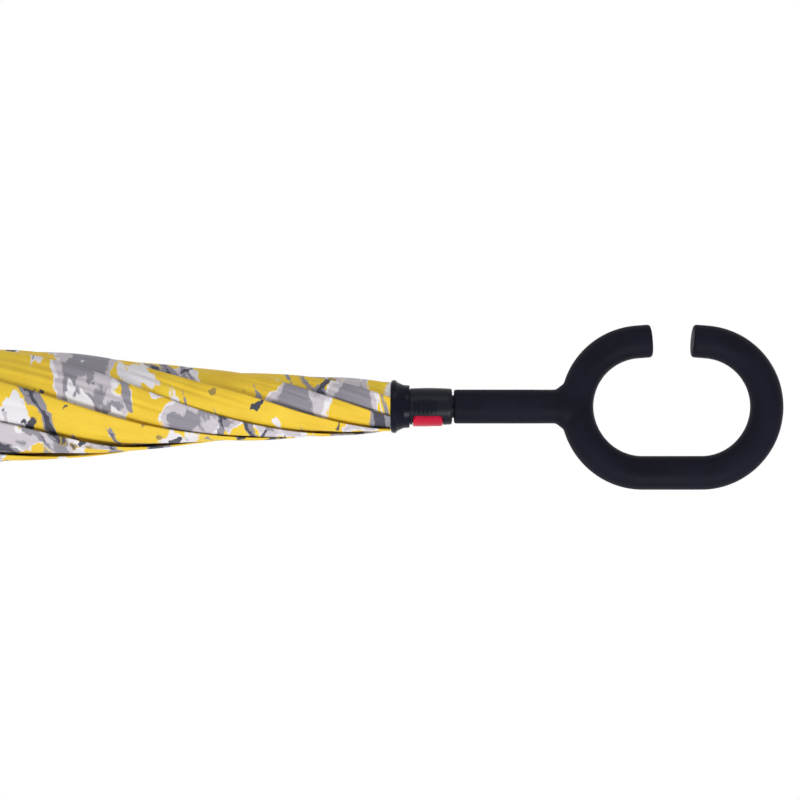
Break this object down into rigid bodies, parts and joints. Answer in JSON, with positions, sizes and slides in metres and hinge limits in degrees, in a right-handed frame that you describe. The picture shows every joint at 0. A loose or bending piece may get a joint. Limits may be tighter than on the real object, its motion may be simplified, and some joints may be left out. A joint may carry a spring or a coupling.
{
  "type": "inverted umbrella",
  "caption": "Folded inverted umbrella with a C-shaped loop handle, a sliding runner with a release button, and a printed canopy that opens on ribs and stretchers.",
  "frame": {"origin": "centre of the floor under the folded umbrella, which stands on its rib tips with the handle up", "axes": "+Z along the shaft towards the handle; the loop handle lies in the XZ plane with its mouth towards -X; the picture was taken from -Y"},
  "size_m": [0.0852, 0.0746, 0.8],
  "materials": {
    "soft_touch_black": "soft-touch",
    "moulded_black": "satin",
    "gloss_black": "gloss",
    "button_red": "gloss",
    "steel": "plain",
    "glass_fibre": "satin",
    "printed_cloth": "printed pongee",
    "lining_cloth": "plain pongee"
  },
  "bodies": {
    "root": {"handle_grip": "soft_touch_black", "handle_pin": "steel", "neck_sleeve": "moulded_black", "shaft": "steel", "open_stop_ring": "moulded_black", "crown": "moulded_black", "crown_wire": "steel", "crown_pin": "steel", "end_cap": "moulded_black"},
    "runner": {"runner_body": "moulded_black", "runner_collar": "gloss_black", "canopy_clamp_ring": "moulded_black", "rib_notch": "moulded_black", "rib_wire": "steel", "latch_spring": "steel"},
    "button": {"release_button": "button_red", "latch_plate": "steel"},
    "rib_1": {"rib_1": "glass_fibre", "rib_tip_1": "moulded_black"},
    "gore_1": {"canopy_gore_1": "printed_cloth"},
    "stretcher_1": {"stretcher_1": "steel"},
    "inner_1": {"inner_gore_1": "lining_cloth"},
    "rib_2": {"rib_2": "glass_fibre", "rib_tip_2": "moulded_black"},
    "gore_2": {"canopy_gore_2": "printed_cloth"},
    "stretcher_2": {"stretcher_2": "steel"},
    "inner_2": {"inner_gore_2": "lining_cloth"},
    "rib_3": {"rib_3": "glass_fibre", "rib_tip_3": "moulded_black"},
    "gore_3": {"canopy_gore_3": "printed_cloth"},
    "stretcher_3": {"stretcher_3": "steel"},
    "inner_3": {"inner_gore_3": "lining_cloth"},
    "rib_4": {"rib_4": "glass_fibre", "rib_tip_4": "moulded_black"},
    "gore_4": {"canopy_gore_4": "printed_cloth"},
    "stretcher_4": {"stretcher_4": "steel"},
    "inner_4": {"inner_gore_4": "lining_cloth"},
    "rib_5": {"rib_5": "glass_fibre", "rib_tip_5": "moulded_black"},
    "gore_5": {"canopy_gore_5": "printed_cloth"},
    "stretcher_5": {"stretcher_5": "steel"},
    "inner_5": {"inner_gore_5": "lining_cloth"},
    "rib_6": {"rib_6": "glass_fibre", "rib_tip_6": "moulded_black"},
    "gore_6": {"canopy_gore_6": "printed_cloth"},
    "stretcher_6": {"stretcher_6": "steel"},
    "inner_6": {"inner_gore_6": "lining_cloth"},
    "rib_7": {"rib_7": "glass_fibre", "rib_tip_7": "moulded_black"},
    "gore_7": {"canopy_gore_7": "printed_cloth"},
    "stretcher_7": {"stretcher_7": "steel"},
    "inner_7": {"inner_gore_7": "lining_cloth"},
    "rib_8": {"rib_8": "glass_fibre", "rib_tip_8": "moulded_black"},
    "gore_8": {"canopy_gore_8": "printed_cloth"},
    "stretcher_8": {"stretcher_8": "steel"},
    "inner_8": {"inner_gore_8": "lining_cloth"}
  },
  "joints": [
    {"name": "runner_slide", "type": "slide", "parent": "root", "child": "runner", "axis": [0, 0, -1], "range_m": [0, 0.505]},
    {"name": "button_press", "type": "slide", "parent": "runner", "child": "button", "axis": [-0.9744, 0.225, 0], "range_m": [0, 0.0015], "stiffness_N_per_m": 1500, "springref_m": -0.0015, "deforming": ["latch_spring"]},
    {"name": "rib_hinge_1", "type": "hinge", "parent": "runner", "child": "rib_1", "pos_m": [0.008, 0, 0.59], "axis": [0, -1, 0], "range_deg": [0, 108.74]},
    {"name": "gore_fan_1", "type": "hinge", "parent": "rib_1", "child": "gore_1", "pos_m": [0, 0, 0.60112], "axis": [0.5677, 0.2352, -0.7889], "range_deg": [0, 72.53], "deforming": ["canopy_gore_1"]},
    {"name": "stretcher_hinge_1", "type": "hinge", "parent": "root", "child": "stretcher_1", "pos_m": [0.008, 0.0028, 0.04], "axis": [0, 1, 0], "range_deg": [0, 59.21]},
    {"name": "inner_fan_1", "type": "hinge", "parent": "stretcher_1", "child": "inner_1", "pos_m": [0, 0, 0.03546], "axis": [-0.8184, -0.339, -0.4639], "range_deg": [0, 43.6], "deforming": ["inner_gore_1"]},
    {"name": "rib_hinge_2", "type": "hinge", "parent": "runner", "child": "rib_2", "pos_m": [0.00566, 0.00566, 0.59], "axis": [0.7071, -0.7071, 0], "range_deg": [0, 108.74]},
    {"name": "gore_fan_2", "type": "hinge", "parent": "rib_2", "child": "gore_2", "pos_m": [0, 0, 0.60112], "axis": [0.2352, 0.5677, -0.7889], "range_deg": [0, 72.53], "deforming": ["canopy_gore_2"]},
    {"name": "stretcher_hinge_2", "type": "hinge", "parent": "root", "child": "stretcher_2", "pos_m": [0.00368, 0.00764, 0.04], "axis": [-0.7071, 0.7071, 0], "range_deg": [0, 59.21]},
    {"name": "inner_fan_2", "type": "hinge", "parent": "stretcher_2", "child": "inner_2", "pos_m": [0, 0, 0.03546], "axis": [-0.339, -0.8184, -0.4639], "range_deg": [0, 43.6], "deforming": ["inner_gore_2"]},
    {"name": "rib_hinge_3", "type": "hinge", "parent": "runner", "child": "rib_3", "pos_m": [0, 0.008, 0.59], "axis": [1, 0, 0], "range_deg": [0, 108.74]},
    {"name": "gore_fan_3", "type": "hinge", "parent": "rib_3", "child": "gore_3", "pos_m": [0, 0, 0.60112], "axis": [-0.2352, 0.5677, -0.7889], "range_deg": [0, 72.53], "deforming": ["canopy_gore_3"]},
    {"name": "stretcher_hinge_3", "type": "hinge", "parent": "root", "child": "stretcher_3", "pos_m": [-0.0028, 0.008, 0.04], "axis": [-1, 0, 0], "range_deg": [0, 59.21]},
    {"name": "inner_fan_3", "type": "hinge", "parent": "stretcher_3", "child": "inner_3", "pos_m": [0, 0, 0.03546], "axis": [0.339, -0.8184, -0.4639], "range_deg": [0, 43.6], "deforming": ["inner_gore_3"]},
    {"name": "rib_hinge_4", "type": "hinge", "parent": "runner", "child": "rib_4", "pos_m": [-0.00566, 0.00566, 0.59], "axis": [0.7071, 0.7071, 0], "range_deg": [0, 108.74]},
    {"name": "gore_fan_4", "type": "hinge", "parent": "rib_4", "child": "gore_4", "pos_m": [0, 0, 0.60112], "axis": [-0.5677, 0.2352, -0.7889], "range_deg": [0, 72.53], "deforming": ["canopy_gore_4"]},
    {"name": "stretcher_hinge_4", "type": "hinge", "parent": "root", "child": "stretcher_4", "pos_m": [-0.00764, 0.00368, 0.04], "axis": [-0.7071, -0.7071, 0], "range_deg": [0, 59.21]},
    {"name": "inner_fan_4", "type": "hinge", "parent": "stretcher_4", "child": "inner_4", "pos_m": [0, 0, 0.03546], "axis": [0.8184, -0.339, -0.4639], "range_deg": [0, 43.6], "deforming": ["inner_gore_4"]},
    {"name": "rib_hinge_5", "type": "hinge", "parent": "runner", "child": "rib_5", "pos_m": [-0.008, 0, 0.59], "axis": [0, 1, 0], "range_deg": [0, 108.74]},
    {"name": "gore_fan_5", "type": "hinge", "parent": "rib_5", "child": "gore_5", "pos_m": [0, 0, 0.60112], "axis": [-0.5677, -0.2352, -0.7889], "range_deg": [0, 72.53], "deforming": ["canopy_gore_5"]},
    {"name": "stretcher_hinge_5", "type": "hinge", "parent": "root", "child": "stretcher_5", "pos_m": [-0.008, -0.0028, 0.04], "axis": [0, -1, 0], "range_deg": [0, 59.21]},
    {"name": "inner_fan_5", "type": "hinge", "parent": "stretcher_5", "child": "inner_5", "pos_m": [0, 0, 0.03546], "axis": [0.8184, 0.339, -0.4639], "range_deg": [0, 43.6], "deforming": ["inner_gore_5"]},
    {"name": "rib_hinge_6", "type": "hinge", "parent": "runner", "child": "rib_6", "pos_m": [-0.00566, -0.00566, 0.59], "axis": [-0.7071, 0.7071, 0], "range_deg": [0, 108.74]},
    {"name": "gore_fan_6", "type": "hinge", "parent": "rib_6", "child": "gore_6", "pos_m": [0, 0, 0.60112], "axis": [-0.2352, -0.5677, -0.7889], "range_deg": [0, 72.53], "deforming": ["canopy_gore_6"]},
    {"name": "stretcher_hinge_6", "type": "hinge", "parent": "root", "child": "stretcher_6", "pos_m": [-0.00368, -0.00764, 0.04], "axis": [0.7071, -0.7071, 0], "range_deg": [0, 59.21]},
    {"name": "inner_fan_6", "type": "hinge", "parent": "stretcher_6", "child": "inner_6", "pos_m": [0, 0, 0.03546], "axis": [0.339, 0.8184, -0.4639], "range_deg": [0, 43.6], "deforming": ["inner_gore_6"]},
    {"name": "rib_hinge_7", "type": "hinge", "parent": "runner", "child": "rib_7", "pos_m": [0, -0.008, 0.59], "axis": [-1, 0, 0], "range_deg": [0, 108.74]},
    {"name": "gore_fan_7", "type": "hinge", "parent": "rib_7", "child": "gore_7", "pos_m": [0, 0, 0.60112], "axis": [0.2352, -0.5677, -0.7889], "range_deg": [0, 72.53], "deforming": ["canopy_gore_7"]},
    {"name": "stretcher_hinge_7", "type": "hinge", "parent": "root", "child": "stretcher_7", "pos_m": [0.0028, -0.008, 0.04], "axis": [1, 0, 0], "range_deg": [0, 59.21]},
    {"name": "inner_fan_7", "type": "hinge", "parent": "stretcher_7", "child": "inner_7", "pos_m": [0, 0, 0.03546], "axis": [-0.339, 0.8184, -0.4639], "range_deg": [0, 43.6], "deforming": ["inner_gore_7"]},
    {"name": "rib_hinge_8", "type": "hinge", "parent": "runner", "child": "rib_8", "pos_m": [0.00566, -0.00566, 0.59], "axis": [-0.7071, -0.7071, 0], "range_deg": [0, 108.74]},
    {"name": "gore_fan_8", "type": "hinge", "parent": "rib_8", "child": "gore_8", "pos_m": [0, 0, 0.60112], "axis": [0.5677, -0.2352, -0.7889], "range_deg": [0, 72.53], "deforming": ["canopy_gore_8"]},
    {"name": "stretcher_hinge_8", "type": "hinge", "parent": "root", "child": "stretcher_8", "pos_m": [0.00764, -0.00368, 0.04], "axis": [0.7071, 0.7071, 0], "range_deg": [0, 59.21]},
    {"name": "inner_fan_8", "type": "hinge", "parent": "stretcher_8", "child": "inner_8", "pos_m": [0, 0, 0.03546], "axis": [-0.8184, 0.339, -0.4639], "range_deg": [0, 43.6], "deforming": ["inner_gore_8"]}
  ],
  "couplings": [
    {"joint": "rib_hinge_1", "follows": "runner_slide", "rad_per_m": 3.7506},
    {"joint": "gore_fan_1", "follows": "runner_slide", "rad_per_m": 2.5017},
    {"joint": "stretcher_hinge_1", "follows": "runner_slide", "rad_per_m": 2.0424},
    {"joint": "inner_fan_1", "follows": "runner_slide", "rad_per_m": 1.5038},
    {"joint": "rib_hinge_2", "follows": "runner_slide", "rad_per_m": 3.7506},
    {"joint": "gore_fan_2", "follows": "runner_slide", "rad_per_m": 2.5017},
    {"joint": "stretcher_hinge_2", "follows": "runner_slide", "rad_per_m": 2.0424},
    {"joint": "inner_fan_2", "follows": "runner_slide", "rad_per_m": 1.5038},
    {"joint": "rib_hinge_3", "follows": "runner_slide", "rad_per_m": 3.7506},
    {"joint": "gore_fan_3", "follows": "runner_slide", "rad_per_m": 2.5017},
    {"joint": "stretcher_hinge_3", "follows": "runner_slide", "rad_per_m": 2.0424},
    {"joint": "inner_fan_3", "follows": "runner_slide", "rad_per_m": 1.5038},
    {"joint": "rib_hinge_4", "follows": "runner_slide", "rad_per_m": 3.7506},
    {"joint": "gore_fan_4", "follows": "runner_slide", "rad_per_m": 2.5017},
    {"joint": "stretcher_hinge_4", "follows": "runner_slide", "rad_per_m": 2.0424},
    {"joint": "inner_fan_4", "follows": "runner_slide", "rad_per_m": 1.5038},
    {"joint": "rib_hinge_5", "follows": "runner_slide", "rad_per_m": 3.7506},
    {"joint": "gore_fan_5", "follows": "runner_slide", "rad_per_m": 2.5017},
    {"joint": "stretcher_hinge_5", "follows": "runner_slide", "rad_per_m": 2.0424},
    {"joint": "inner_fan_5", "follows": "runner_slide", "rad_per_m": 1.5038},
    {"joint": "rib_hinge_6", "follows": "runner_slide", "rad_per_m": 3.7506},
    {"joint": "gore_fan_6", "follows": "runner_slide", "rad_per_m": 2.5017},
    {"joint": "stretcher_hinge_6", "follows": "runner_slide", "rad_per_m": 2.0424},
    {"joint": "inner_fan_6", "follows": "runner_slide", "rad_per_m": 1.5038},
    {"joint": "rib_hinge_7", "follows": "runner_slide", "rad_per_m": 3.7506},
    {"joint": "gore_fan_7", "follows": "runner_slide", "rad_per_m": 2.5017},
    {"joint": "stretcher_hinge_7", "follows": "runner_slide", "rad_per_m": 2.0424},
    {"joint": "inner_fan_7", "follows": "runner_slide", "rad_per_m": 1.5038},
    {"joint": "rib_hinge_8", "follows": "runner_slide", "rad_per_m": 3.7506},
    {"joint": "gore_fan_8", "follows": "runner_slide", "rad_per_m": 2.5017},
    {"joint": "stretcher_hinge_8", "follows": "runner_slide", "rad_per_m": 2.0424},
    {"joint": "inner_fan_8", "follows": "runner_slide", "rad_per_m": 1.5038}
  ]
}
